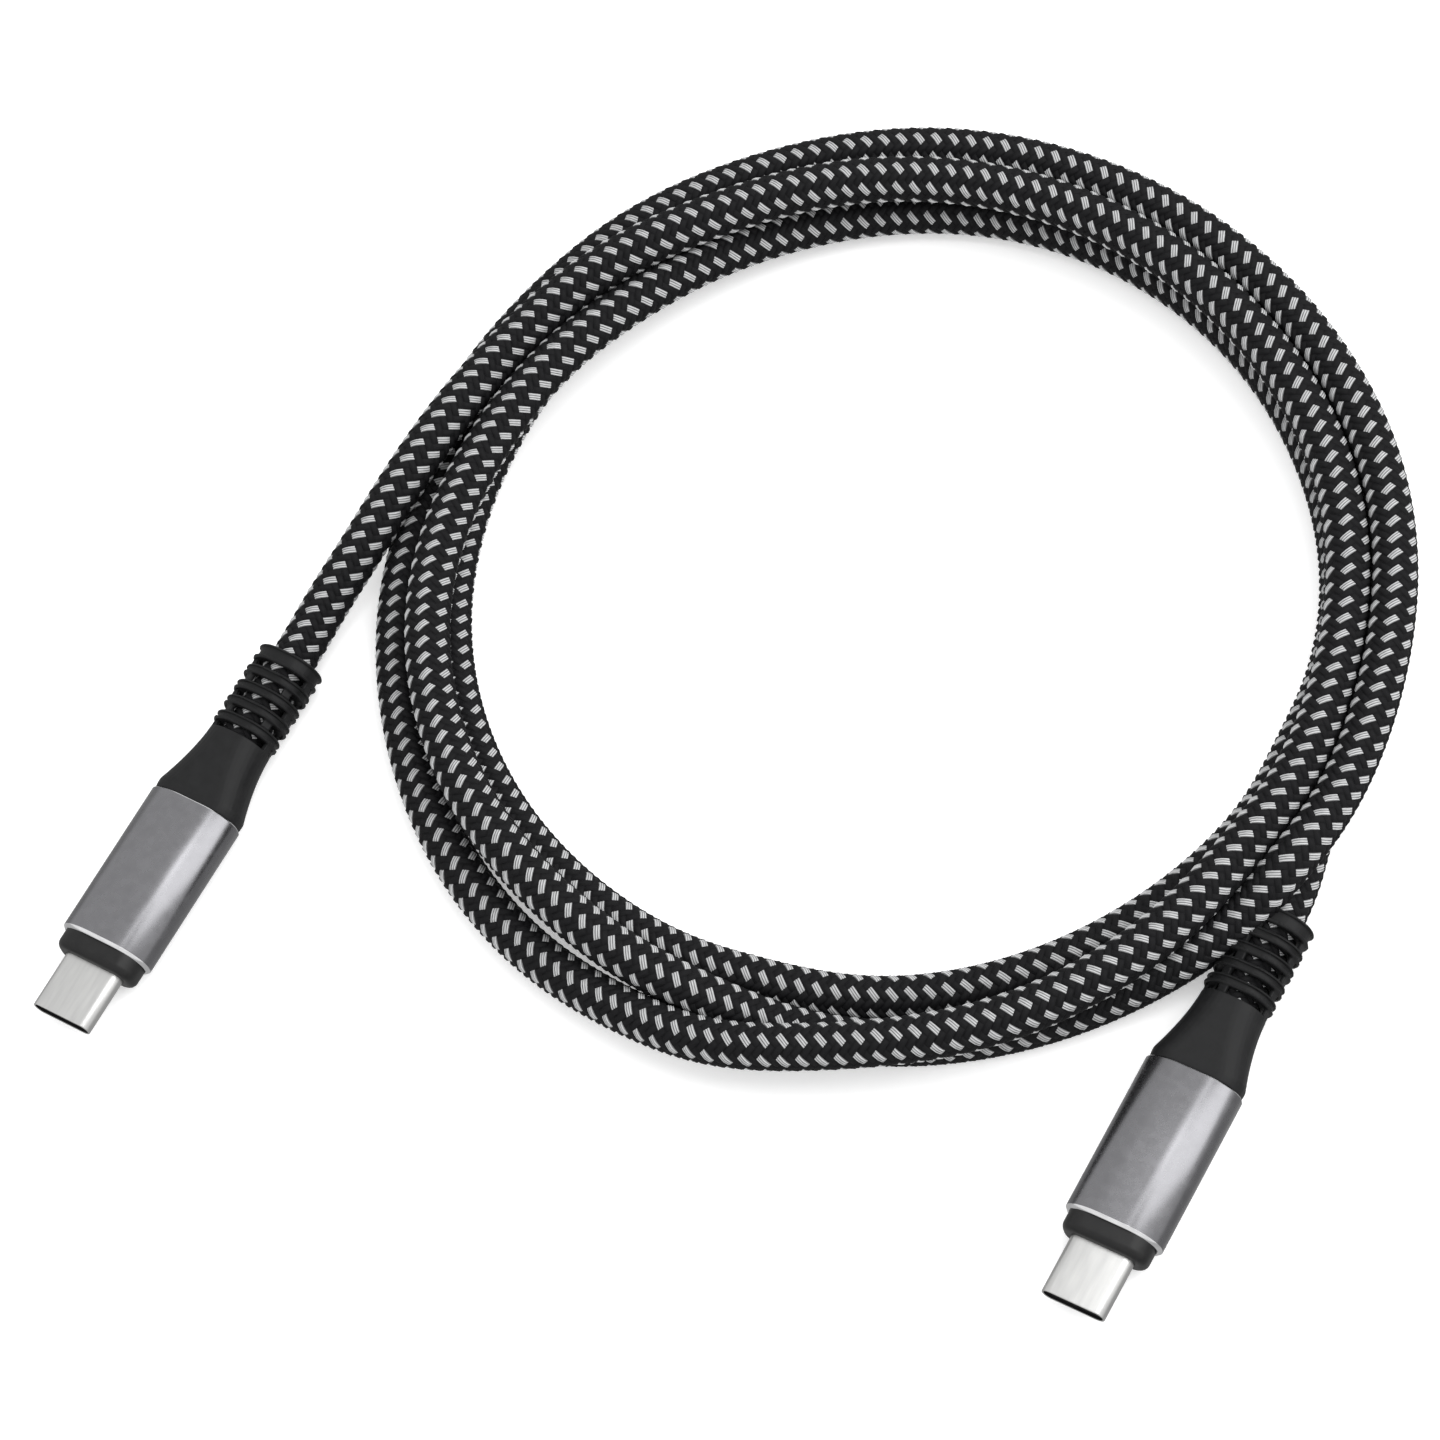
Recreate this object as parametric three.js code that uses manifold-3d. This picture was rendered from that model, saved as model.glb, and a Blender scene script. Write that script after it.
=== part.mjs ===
// A braided charging cable with a USB-C type plug on each end, lying in a round
// coil of three and a half turns with both plugs side by side in front of it.
//
// Millimetres, +Z up, the surface that the cable lies on at z = 0. The origin is
// on that surface, at the middle of the box around the two plug assemblies.
// Each plug assembly is built in its own frame: +Y runs from the plug's tip to
// the cable, +X across the plug and +Z through its thickness, from its axis.

import * as THREE from 'three';
import { mergeVertices } from 'three/addons/utils/BufferGeometryUtils.js';
import Module from 'manifold-3d';

const wasm = await Module();
wasm.setup();

// ---------------------------------------------------------------- dimensions

// Stations along a plug assembly's axis, from the tip
const TONGUE_LENGTH = 7.65;
const COLLAR_LENGTH = 2.5;
const SLEEVE_LENGTH = 21.2;
const NECK_LENGTH = 10.3;
const RIBBED_LENGTH = 12.5;
const SLEEVE_START = TONGUE_LENGTH + COLLAR_LENGTH;
const SLEEVE_END = SLEEVE_START + SLEEVE_LENGTH;
const NECK_START = SLEEVE_END + 0.1;
const NECK_END = SLEEVE_END + NECK_LENGTH;
const RIBBED_END = NECK_END + RIBBED_LENGTH;

const AXIS_HEIGHT = 3.6;
const FIT_GAP = 0.1;
const CORD_GAP = 0.3;
const STRAIGHT_OUT = 4;

// Plug, the standard metal tongue
const PLUG_WIDTH = 8.25;
const PLUG_HEIGHT = 2.4;
const PLUG_WALL = 0.25;
const PLUG_END = 12.6;
const MOUTH_WIDTH = 6.9;
const MOUTH_HEIGHT = 1.2;
const HOUSING_START = 0.4;
const HOUSING_END = 6.0;

// Contacts, twelve a side
const CONTACT_COUNT = 12;
const CONTACT_PITCH = 0.5;
const CONTACT_WIDTH = 0.25;
const CONTACT_LOW = 0.43;
const CONTACT_HIGH = 0.57;
const CONTACT_START = 2.1;
const CONTACT_END = 9.6;
const CARRIER_START = 6.1;
const CARRIER_END = 7.9;
const CARRIER_HALF_WIDTH = 3.4;
const CARRIER_LOW = 0.2;
const CARRIER_HIGH = 0.85;

// Circuit board and chip
const CARD_START = 8.4;
const CARD_STEP = 12.9;
const CARD_END = 21.5;
const CARD_NARROW = 6.8;
const CARD_WIDE = 9.0;
const CARD_THICKNESS = 0.76;
const CHIP_SIZE = 2.6;
const CHIP_HEIGHT = 0.6;
const CHIP_START = 14.6;

// Shield can around the board
const SHIELD_START = 13.0;
const SHIELD_END = 24.2;
const SHIELD_HALF_WIDTH = 4.95;
const SHIELD_HALF_HEIGHT = 2.2;
const SHIELD_WALL = 0.3;

// Sleeve, collar and inner moulding
const SLEEVE_WIDTH = 12.6;
const SLEEVE_HEIGHT = 2 * AXIS_HEIGHT;
const SLEEVE_RADIUS = 3.2;
const SLEEVE_WALL = 0.6;
const INNER_WIDTH = SLEEVE_WIDTH - 2 * (SLEEVE_WALL + FIT_GAP);
const INNER_HEIGHT = SLEEVE_HEIGHT - 2 * (SLEEVE_WALL + FIT_GAP);
const INNER_RADIUS = SLEEVE_RADIUS - SLEEVE_WALL - FIT_GAP;
const COLLAR_END = PLUG_END + FIT_GAP;

// Strain relief
const NECK_BASE_WIDTH = 12.1;
const NECK_BASE_HEIGHT = 6.8;
const RIB_WIDTH = 8.9;
const RIB_HEIGHT = 2 * AXIS_HEIGHT;
const RIB_GAP_COUNT = 5;
const RIB_GAP = 1.12;
const END_RIB_LENGTH = 2.1;
const WEB_WIDTH = 3.2;

// Cable
const CABLE_RADIUS = 2.95;
const CABLE_END_RADIUS = 2.8;
const CABLE_BORE_RADIUS = CABLE_END_RADIUS + FIT_GAP;
const SHEATH_RADIUS = 2.2;
const SHEATH_START = 25.9;
const FERRULE_WALL = 0.3;
const FERRULE_LENGTH = 4.0;
const WIRE_END = SHEATH_START - CORD_GAP;

// Coil, as a ring around all the turns that lie on and beside each other
const COIL_RADIUS = 58.8;
const COIL_IN = 8.6;
const COIL_OUT = 8.0;
const COIL_HEIGHT = 14.5;
const COIL_CORNER = 3.2;
const COIL_SEGMENTS = 48;
const TAIL_CLEARANCE = 0.6;

// Where each sleeve's middle lies, from the middle of the coil, and the
// direction of its axis from the plug to the cable
const LEFT_SLEEVE = { x: -90.9, y: -36.3, degrees: 61.9 };
const RIGHT_SLEEVE = { x: 32.6, y: -75.6, degrees: 63.1 };

// The cable's routes from each ribbed end into the coil, from its middle. Each
// one starts with the end of its plug assembly, which is worked out below.
const LEFT_ROUTE = [
  [-72.7, -2.0, 3.8],
  [-66.8, 7.0, 6.4],
  [-60.7, 16.6, 8.9],
  [-54.6, 26.2, 9.4],
];
const RIGHT_ROUTE = [
  [50.9, -35.6, 3.3],
  [55.3, -24.6, 3.2],
  [59.6, -12.4, 3.2],
];

// ----------------------------------------------------------------- materials

const paint = (color, roughness, metalness) => (
  new THREE.MeshStandardMaterial({ color, roughness, metalness })
);
const nickel = paint(0xc9c8c4, 0.3, 1.0);
const aluminium = paint(0x8b8b90, 0.38, 1.0);
const elastomer = paint(0x262628, 0.62, 0.0);
const plastic = paint(0x2b2b2d, 0.5, 0.0);
const mouldedInsulator = paint(0x1c1c1e, 0.45, 0.0);
const gold = paint(0xd8b26a, 0.3, 1.0);
const steel = paint(0xa9aaac, 0.35, 1.0);
const circuitBoard = paint(0x1f4a34, 0.55, 0.0);
const chipPackage = paint(0x17181a, 0.5, 0.0);
const meltedPlastic = paint(0xe4e2d8, 0.6, 0.0);
const copper = paint(0xb87a4b, 0.35, 1.0);
const braid = paint(0x1e1e20, 0.85, 0.0);
const redWire = paint(0xa03028, 0.5, 0.0);
const blackWire = paint(0x1a1a1c, 0.5, 0.0);
const pairWire = paint(0xd8d8da, 0.5, 0.0);

// ------------------------------------------------------------- shape helpers

// An outline with round corners, centred on the origin
function roundedRect(width, height, radius, outline = new THREE.Shape()) {
  const x = width / 2 - radius;
  const y = height / 2 - radius;
  const quarter = Math.PI / 2;
  outline.absarc(x, -y, radius, -quarter, 0, false);
  outline.absarc(x, y, radius, 0, quarter, false);
  outline.absarc(-x, y, radius, quarter, 2 * quarter, false);
  outline.absarc(-x, -y, radius, 2 * quarter, 3 * quarter, false);
  outline.closePath();
  return outline;
}

// An outline through straight corners
function polygon(points) {
  return new THREE.Shape(points.map(([x, y]) => new THREE.Vector2(x, y)));
}

function circle(radius) {
  const outline = new THREE.Shape();
  outline.absarc(0, 0, radius, 0, 2 * Math.PI, false);
  return outline;
}

// Extrudes a cross-section, given in X and Z, along Y
function alongY(shape, start, end, curveSegments = 3, steps = 1) {
  const options = { depth: end - start, bevelEnabled: false, curveSegments, steps };
  const geometry = new THREE.ExtrudeGeometry(shape, options);
  geometry.rotateX(Math.PI / 2);
  geometry.translate(0, end, 0);
  return geometry;
}

// Extrudes a plan outline, given in X and Y, upwards
function upwards(shape, low, high) {
  const options = { depth: high - low, bevelEnabled: false };
  const geometry = new THREE.ExtrudeGeometry(shape, options);
  geometry.translate(0, 0, low);
  return geometry;
}

// A box from its lowest to its highest corner
function block(low, high) {
  const size = high.map((value, i) => value - low[i]);
  const geometry = new THREE.BoxGeometry(...size);
  geometry.translate(...low.map((value, i) => (value + high[i]) / 2));
  return geometry;
}

// A solid of revolution about Y, from [y, radius] pairs that start and end on it
function turned(profile, segments = 20) {
  const points = profile.map(([y, radius]) => new THREE.Vector2(radius, y));
  return new THREE.LatheGeometry(points, segments);
}

// A round bar along a smooth curve
function bar(points, radius, sides, steps) {
  const path = new THREE.CatmullRomCurve3(points.map((p) => new THREE.Vector3(...p)));
  const options = { extrudePath: path, bevelEnabled: false, curveSegments: sides / 2, steps };
  return new THREE.ExtrudeGeometry(circle(radius), options);
}

function toSolid(geometry) {
  const bare = geometry.clone();
  bare.deleteAttribute('normal');
  bare.deleteAttribute('uv');
  const merged = mergeVertices(bare, 1e-4);
  const vertProperties = new Float32Array(merged.attributes.position.array);
  const triVerts = new Uint32Array(merged.index.array);
  return new wasm.Manifold(new wasm.Mesh({ numProp: 3, vertProperties, triVerts }));
}

function toGeometry(solid) {
  const mesh = solid.getMesh();
  const geometry = new THREE.BufferGeometry();
  geometry.setAttribute('position', new THREE.BufferAttribute(mesh.vertProperties, 3));
  geometry.setIndex(new THREE.BufferAttribute(mesh.triVerts, 1));
  geometry.computeVertexNormals();
  return geometry;
}

function part(name, geometry, material) {
  const mesh = new THREE.Mesh(geometry, material);
  mesh.name = name;
  return mesh;
}

// ---------------------------------------------------------- parts of one plug

function plugShell() {
  const shape = roundedRect(PLUG_WIDTH, PLUG_HEIGHT, PLUG_HEIGHT / 2 - 0.001);
  const width = PLUG_WIDTH - 2 * PLUG_WALL;
  const height = PLUG_HEIGHT - 2 * PLUG_WALL;
  shape.holes.push(roundedRect(width, height, height / 2 - 0.001, new THREE.Path()));
  return alongY(shape, 0, PLUG_END, 5);
}

function contactHousing() {
  const width = PLUG_WIDTH - 2 * (PLUG_WALL + FIT_GAP / 2);
  const height = PLUG_HEIGHT - 2 * (PLUG_WALL + FIT_GAP / 2);
  const shape = roundedRect(width, height, height / 2 - 0.001);
  shape.holes.push(roundedRect(MOUTH_WIDTH, MOUTH_HEIGHT, 0.3, new THREE.Path()));
  return alongY(shape, HOUSING_START, HOUSING_END);
}

// A row of spring contacts moulded into their carrier; side is 1 above, -1 below
function contactRow(side) {
  const heights = (low, high) => [Math.min(side * low, side * high), Math.max(side * low, side * high)];
  const [carrierLow, carrierHigh] = heights(CARRIER_LOW, CARRIER_HIGH);
  const [low, high] = heights(CONTACT_LOW, CONTACT_HIGH);
  let solid = toSolid(block(
    [-CARRIER_HALF_WIDTH, CARRIER_START, carrierLow],
    [CARRIER_HALF_WIDTH, CARRIER_END, carrierHigh],
  ));
  for (let i = 0; i < CONTACT_COUNT; i += 1) {
    const x = (i - (CONTACT_COUNT - 1) / 2) * CONTACT_PITCH;
    const contact = block(
      [x - CONTACT_WIDTH / 2, CONTACT_START, low],
      [x + CONTACT_WIDTH / 2, CONTACT_END, high],
    );
    solid = solid.add(toSolid(contact));
  }
  return toGeometry(solid);
}

// The flat U-shaped spring whose arms grip the socket at both sides
function latchSpring() {
  const outer = 3.38;
  const inner = 3.1;
  const front = 1.4;
  const bridge = 6.6;
  const back = 7.6;
  const outline = [
    [-outer, front], [-inner, front], [-inner, bridge], [inner, bridge],
    [inner, front], [outer, front], [outer, back], [-outer, back],
  ];
  return upwards(polygon(outline), -0.12, 0.12);
}

function groundSpring(side) {
  const low = Math.min(side * CONTACT_LOW, side * CONTACT_HIGH);
  const high = Math.max(side * CONTACT_LOW, side * CONTACT_HIGH);
  return block([-2.6, 0.8, low], [2.6, 1.8, high]);
}

function paddleCard() {
  const narrow = CARD_NARROW / 2;
  const wide = CARD_WIDE / 2;
  const outline = [
    [-narrow, CARD_START], [narrow, CARD_START], [narrow, CARD_STEP], [wide, CARD_STEP],
    [wide, CARD_END], [-wide, CARD_END], [-wide, CARD_STEP], [-narrow, CARD_STEP],
  ];
  return upwards(polygon(outline), -CARD_THICKNESS / 2, CARD_THICKNESS / 2);
}

function markerChip() {
  const low = CARD_THICKNESS / 2 + FIT_GAP;
  const half = CHIP_SIZE / 2;
  return block([-half, CHIP_START, low], [half, CHIP_START + CHIP_SIZE, low + CHIP_HEIGHT]);
}

// One half of the shield can, a channel that closes over the board
function shieldHalf(side) {
  const w = SHIELD_HALF_WIDTH;
  const h = SHIELD_HALF_HEIGHT;
  const t = SHIELD_WALL;
  const upper = [
    [-w, FIT_GAP], [-w + t, FIT_GAP], [-w + t, h - t], [w - t, h - t],
    [w - t, FIT_GAP], [w, FIT_GAP], [w, h], [-w, h],
  ];
  const outline = upper.map(([x, z]) => [x, side * z]);
  return alongY(polygon(outline), SHIELD_START, SHIELD_END);
}

function crimpFerrule() {
  const shape = circle(SHEATH_RADIUS + FIT_GAP + FERRULE_WALL);
  const hole = new THREE.Path();
  hole.absarc(0, 0, SHEATH_RADIUS + FIT_GAP, 0, 2 * Math.PI, false);
  shape.holes.push(hole);
  return alongY(shape, SHEATH_START, SHEATH_START + FERRULE_LENGTH, 10);
}

// The moulding that fills the sleeve around the shield can and the ferrule
function innerMoulding() {
  const start = COLLAR_END + CORD_GAP;
  const end = SLEEVE_END - FIT_GAP;
  const outside = alongY(roundedRect(INNER_WIDTH, INNER_HEIGHT, INNER_RADIUS), start, end);
  const gap = FIT_GAP;
  const shieldSpace = block(
    [-SHIELD_HALF_WIDTH - gap, start - 1, -SHIELD_HALF_HEIGHT - gap],
    [SHIELD_HALF_WIDTH + gap, SHIELD_END + gap, SHIELD_HALF_HEIGHT + gap],
  );
  const ferruleRadius = SHEATH_RADIUS + FERRULE_WALL + 2 * gap;
  const ferruleSpace = alongY(circle(ferruleRadius), SHIELD_END, end + 1, 10);
  return toGeometry(toSolid(outside).subtract(toSolid(shieldSpace)).subtract(toSolid(ferruleSpace)));
}

function frontCollar() {
  const shape = roundedRect(INNER_WIDTH, INNER_HEIGHT, INNER_RADIUS);
  const width = PLUG_WIDTH + 2 * FIT_GAP;
  const height = PLUG_HEIGHT + 2 * FIT_GAP;
  shape.holes.push(roundedRect(width, height, height / 2 - 0.001, new THREE.Path()));
  return alongY(shape, TONGUE_LENGTH, COLLAR_END, 4);
}

function sleeve() {
  const shape = roundedRect(SLEEVE_WIDTH, SLEEVE_HEIGHT, SLEEVE_RADIUS);
  const width = SLEEVE_WIDTH - 2 * SLEEVE_WALL;
  const height = SLEEVE_HEIGHT - 2 * SLEEVE_WALL;
  const hole = roundedRect(width, height, SLEEVE_RADIUS - SLEEVE_WALL, new THREE.Path());
  shape.holes.push(hole);
  return alongY(shape, SLEEVE_START, SLEEVE_END, 5);
}

// The neck narrows in a hollow curve from the sleeve's section to the ribs'
function neck() {
  const section = roundedRect(NECK_BASE_WIDTH, NECK_BASE_HEIGHT, SLEEVE_RADIUS - 0.2);
  const geometry = alongY(section, NECK_START, NECK_END, 4, 6);
  const position = geometry.attributes.position;
  const endScale = RIB_WIDTH / NECK_BASE_WIDTH;
  for (let i = 0; i < position.count; i += 1) {
    const along = (position.getY(i) - NECK_START) / (NECK_END - NECK_START);
    const narrowing = 1 - (1 - along) ** 2;
    position.setX(i, position.getX(i) * (1 - (1 - endScale) * narrowing));
  }
  return geometry;
}

// The ribs are left by cutting gaps in an oval tube; each gap keeps two webs,
// at the sides and at the top and bottom in turn
function strainRelief() {
  const oval = roundedRect(RIB_WIDTH, RIB_HEIGHT, RIB_HEIGHT / 2 - 0.01);
  let solid = toSolid(neck()).add(toSolid(alongY(oval, NECK_END - 0.5, RIBBED_END, 4)));
  const ribLength = (RIBBED_LENGTH - END_RIB_LENGTH - RIB_GAP_COUNT * RIB_GAP) / (RIB_GAP_COUNT - 1);
  const reach = 10;
  for (let i = 0; i < RIB_GAP_COUNT; i += 1) {
    const start = NECK_END + i * (RIB_GAP + ribLength);
    const end = start + RIB_GAP;
    const gap = toSolid(block([-reach, start, -reach], [reach, end, reach]));
    const half = WEB_WIDTH / 2;
    const sideWebs = block([-reach, start - 1, -half], [reach, end + 1, half]);
    const topWebs = block([-half, start - 1, -reach], [half, end + 1, reach]);
    const webs = toSolid(i % 2 === 0 ? sideWebs : topWebs);
    solid = solid.subtract(gap.subtract(webs));
  }
  const bore = alongY(circle(CABLE_BORE_RADIUS), NECK_START - 1, RIBBED_END + 1, 12);
  return toGeometry(solid.subtract(toSolid(bore)));
}

// The cable's end: stripped to its inner sheath under the ferrule, then braided
function cableEnd() {
  const step = SLEEVE_END - FIT_GAP;
  return turned([
    [SHEATH_START, 0], [SHEATH_START, SHEATH_RADIUS], [step, SHEATH_RADIUS],
    [step, CABLE_END_RADIUS], [RIBBED_END, CABLE_END_RADIUS], [RIBBED_END, 0],
  ]);
}

// A wire from its pad on the board, above (1) or below (-1), into the cable
function wire(side, padX, radius, cableX, cableZ) {
  const padZ = side * (CARD_THICKNESS / 2 + FIT_GAP + radius);
  return bar(
    [[padX, CARD_END - 2, padZ], [padX, CARD_END, padZ], [cableX, 24.6, cableZ], [cableX, WIRE_END, cableZ]],
    radius,
    8,
    6,
  );
}

const POWER_WIRE_RADIUS = 0.6;
const PAIR_WIRE_RADIUS = 0.45;
const WIRES = [
  { name: 'power_wire', material: redWire, side: 1, padX: -2.9, radius: POWER_WIRE_RADIUS, x: -1.1, z: 0.75 },
  { name: 'ground_wire', material: blackWire, side: 1, padX: 2.9, radius: POWER_WIRE_RADIUS, x: 1.1, z: 0.75 },
  { name: 'usb2_pair', material: pairWire, side: 1, padX: 0, radius: PAIR_WIRE_RADIUS, x: 0, z: 1.3 },
  { name: 'data_pair_1', material: pairWire, side: -1, padX: -3.0, radius: PAIR_WIRE_RADIUS, x: -1.4, z: -0.75 },
  { name: 'data_pair_2', material: pairWire, side: -1, padX: -1.0, radius: PAIR_WIRE_RADIUS, x: -0.5, z: -1.2 },
  { name: 'data_pair_3', material: pairWire, side: -1, padX: 1.0, radius: PAIR_WIRE_RADIUS, x: 0.5, z: -1.2 },
  { name: 'data_pair_4', material: pairWire, side: -1, padX: 3.0, radius: PAIR_WIRE_RADIUS, x: 1.4, z: -0.75 },
];

// ------------------------------------------------------------- plug assembly

function placement(sleevePlace) {
  const angle = THREE.MathUtils.degToRad(sleevePlace.degrees);
  const back = SLEEVE_START + SLEEVE_LENGTH / 2;
  return {
    turn: angle - Math.PI / 2,
    tip: [sleevePlace.x - back * Math.cos(angle), sleevePlace.y - back * Math.sin(angle)],
    along: [Math.cos(angle), Math.sin(angle)],
  };
}

function plugAssembly(name, sleevePlace) {
  const group = new THREE.Group();
  const { turn, tip } = placement(sleevePlace);
  group.rotation.z = turn;
  group.position.set(tip[0], tip[1], AXIS_HEIGHT);
  group.add(
    part(`${name}_plug_shell`, plugShell(), nickel),
    part(`${name}_contact_housing`, contactHousing(), mouldedInsulator),
    part(`${name}_upper_contacts`, contactRow(1), gold),
    part(`${name}_lower_contacts`, contactRow(-1), gold),
    part(`${name}_latch_spring`, latchSpring(), steel),
    part(`${name}_upper_ground_spring`, groundSpring(1), steel),
    part(`${name}_lower_ground_spring`, groundSpring(-1), steel),
    part(`${name}_paddle_card`, paddleCard(), circuitBoard),
    part(`${name}_marker_chip`, markerChip(), chipPackage),
    part(`${name}_upper_shield`, shieldHalf(1), steel),
    part(`${name}_lower_shield`, shieldHalf(-1), steel),
    part(`${name}_crimp_ferrule`, crimpFerrule(), copper),
    part(`${name}_inner_moulding`, innerMoulding(), meltedPlastic),
    part(`${name}_front_collar`, frontCollar(), plastic),
    part(`${name}_sleeve`, sleeve(), aluminium),
    part(`${name}_strain_relief`, strainRelief(), elastomer),
    part(`${name}_cable_end`, cableEnd(), braid),
  );
  for (const w of WIRES) {
    group.add(part(`${name}_${w.name}`, wire(w.side, w.padX, w.radius, w.x, w.z), w.material));
  }
  return group;
}

// --------------------------------------------------------------------- cable

// The point on a plug assembly's axis that is this far past its ribbed end
function pastRibs(sleevePlace, distance) {
  const { tip, along } = placement(sleevePlace);
  const reach = RIBBED_END + distance;
  return [tip[0] + reach * along[0], tip[1] + reach * along[1], AXIS_HEIGHT];
}

// The points of a tail: straight out of the ribs first, then its route
function tailPoints(sleevePlace, route) {
  return [pastRibs(sleevePlace, CORD_GAP), pastRibs(sleevePlace, STRAIGHT_OUT), ...route];
}

const TAIL_SIDES = 10;
const TAIL_STEPS = 10;

function tail(sleevePlace, route) {
  return bar(tailPoints(sleevePlace, route), CABLE_RADIUS, TAIL_SIDES, TAIL_STEPS);
}

// The space that a tail and the last of its ribs need inside the coil's ring
function tailSpace(sleevePlace, route) {
  const points = [pastRibs(sleevePlace, -RIBBED_LENGTH), ...tailPoints(sleevePlace, route)];
  const radius = CABLE_RADIUS + TAIL_CLEARANCE;
  const end = new THREE.SphereGeometry(radius, 16, 12);
  end.translate(...points.at(-1));
  return toSolid(bar(points, radius, TAIL_SIDES, 2 * TAIL_STEPS)).add(toSolid(end));
}

// The room around the ribs themselves, which the ring would otherwise touch
function ribSpace(sleevePlace) {
  const { turn, tip } = placement(sleevePlace);
  const halfWidth = RIB_WIDTH / 2 + CORD_GAP;
  const height = RIB_HEIGHT + CORD_GAP;
  const geometry = block([-halfWidth, NECK_START, -1], [halfWidth, RIBBED_END + CORD_GAP, height]);
  geometry.rotateZ(turn);
  geometry.translate(tip[0], tip[1], 0);
  return toSolid(geometry);
}

function coilRing() {
  const section = new THREE.Path();
  const middle = (COIL_OUT - COIL_IN) / 2;
  roundedRect(COIL_IN + COIL_OUT, COIL_HEIGHT, COIL_CORNER, section);
  const profile = section.getPoints(1).map((p) => (
    new THREE.Vector2(p.x + COIL_RADIUS + middle, p.y + COIL_HEIGHT / 2)
  ));
  const ring = new THREE.LatheGeometry(profile, COIL_SEGMENTS);
  ring.rotateX(Math.PI / 2);
  return ring;
}

function cableCoil() {
  const solid = toSolid(coilRing())
    .subtract(tailSpace(LEFT_SLEEVE, LEFT_ROUTE))
    .subtract(tailSpace(RIGHT_SLEEVE, RIGHT_ROUTE))
    .subtract(ribSpace(RIGHT_SLEEVE));
  return toGeometry(solid);
}

// ------------------------------------------------------------------ assembly

const plugs = new THREE.Group();
plugs.add(plugAssembly('left', LEFT_SLEEVE), plugAssembly('right', RIGHT_SLEEVE));

const cable = new THREE.Group();
cable.add(
  part('left_tail', tail(LEFT_SLEEVE, LEFT_ROUTE), braid),
  part('right_tail', tail(RIGHT_SLEEVE, RIGHT_ROUTE), braid),
  part('cable_coil', cableCoil(), braid),
);

const chargingCable = new THREE.Group();
chargingCable.add(plugs, cable);
plugs.updateMatrixWorld(true);
const plugBox = new THREE.Box3().setFromObject(plugs, true);
const middle = plugBox.getCenter(new THREE.Vector3());
chargingCable.position.set(-middle.x, -middle.y, 0);

export default chargingCable;
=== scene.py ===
"""Looks for a braided charging cable with two plug assemblies, around its CAD frame.

Lengths are in millimetres until a mesh is made, where MM turns them into metres.
A plug assembly's own frame has +Y from the plug's tip to the cable, +X across the
plug and +Z up from its axis, as in the CAD source.
"""

import math

import bmesh
import bpy
import numpy as np
from mathutils import Matrix, Vector


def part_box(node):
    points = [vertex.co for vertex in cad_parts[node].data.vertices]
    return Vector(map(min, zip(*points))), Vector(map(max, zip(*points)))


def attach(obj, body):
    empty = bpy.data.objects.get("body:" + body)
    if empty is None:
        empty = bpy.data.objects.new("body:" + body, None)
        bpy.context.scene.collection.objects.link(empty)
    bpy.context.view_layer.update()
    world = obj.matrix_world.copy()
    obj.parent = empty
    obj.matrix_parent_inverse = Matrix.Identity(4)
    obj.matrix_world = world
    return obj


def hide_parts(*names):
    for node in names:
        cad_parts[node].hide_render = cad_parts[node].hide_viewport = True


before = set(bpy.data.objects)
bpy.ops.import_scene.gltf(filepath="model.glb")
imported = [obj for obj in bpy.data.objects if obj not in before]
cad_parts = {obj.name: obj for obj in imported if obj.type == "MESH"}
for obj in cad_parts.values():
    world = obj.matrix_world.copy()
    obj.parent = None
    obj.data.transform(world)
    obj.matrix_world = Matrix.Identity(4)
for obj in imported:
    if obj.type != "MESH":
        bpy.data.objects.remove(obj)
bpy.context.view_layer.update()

# ------------------------------------------------------------------ dimensions

MM = 0.001
SIDES = ("left", "right")

# Stations along a plug assembly's axis, from the tip
TONGUE_LENGTH = 7.65
SLEEVE_START = 10.15
SLEEVE_LENGTH = 21.2
SLEEVE_END = SLEEVE_START + SLEEVE_LENGTH
NECK_END = SLEEVE_END + 10.3
RIBBED_END = NECK_END + 12.5
AXIS_HEIGHT = 3.6

PLUG_WIDTH = 8.25
PLUG_HEIGHT = 2.4
PLUG_WALL = 0.25
PLUG_END = 12.6
LINING_START = 0.06

SLEEVE_WIDTH = 12.6
SLEEVE_HEIGHT = 7.2
SLEEVE_RADIUS = (4.7, 3.3)
SLEEVE_WALL = 0.6
FRONT_CHAMFER = 0.34
BACK_CHAMFER = 0.12
COLLAR_WIDTH = 11.2
COLLAR_HEIGHT = 5.8
COLLAR_RADIUS = 2.5
COLLAR_EDGE = 0.95
COLLAR_END = 12.7

NECK_BASE_WIDTH = 12.1
NECK_BASE_HEIGHT = 6.8
NECK_TOP_WIDTH = 8.5
NECK_TOP_HEIGHT = 6.9
RIB_WIDTH = 9.2
RIB_HEIGHT = 7.2
BORE_RADIUS = 2.95

CABLE_RADIUS = 2.95
CORE_RADIUS = 2.6

# Where each sleeve's middle lies from the middle of the coil, and its direction
SLEEVES = {
    "left": (-90.9, -36.3, 61.9),
    "right": (32.6, -75.6, 63.1),
}

# The cable's routes from its ribbed ends into the coil, as in the CAD source
STRAIGHT_OUT = 4.0
LEFT_ROUTE = [(-72.7, -2.0, 3.8), (-66.8, 7.0, 6.4), (-60.7, 16.6, 8.9), (-54.6, 26.2, 9.4)]
RIGHT_ROUTE = [(50.9, -35.6, 3.3), (55.3, -24.6, 3.2), (59.6, -12.4, 3.2)]

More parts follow.
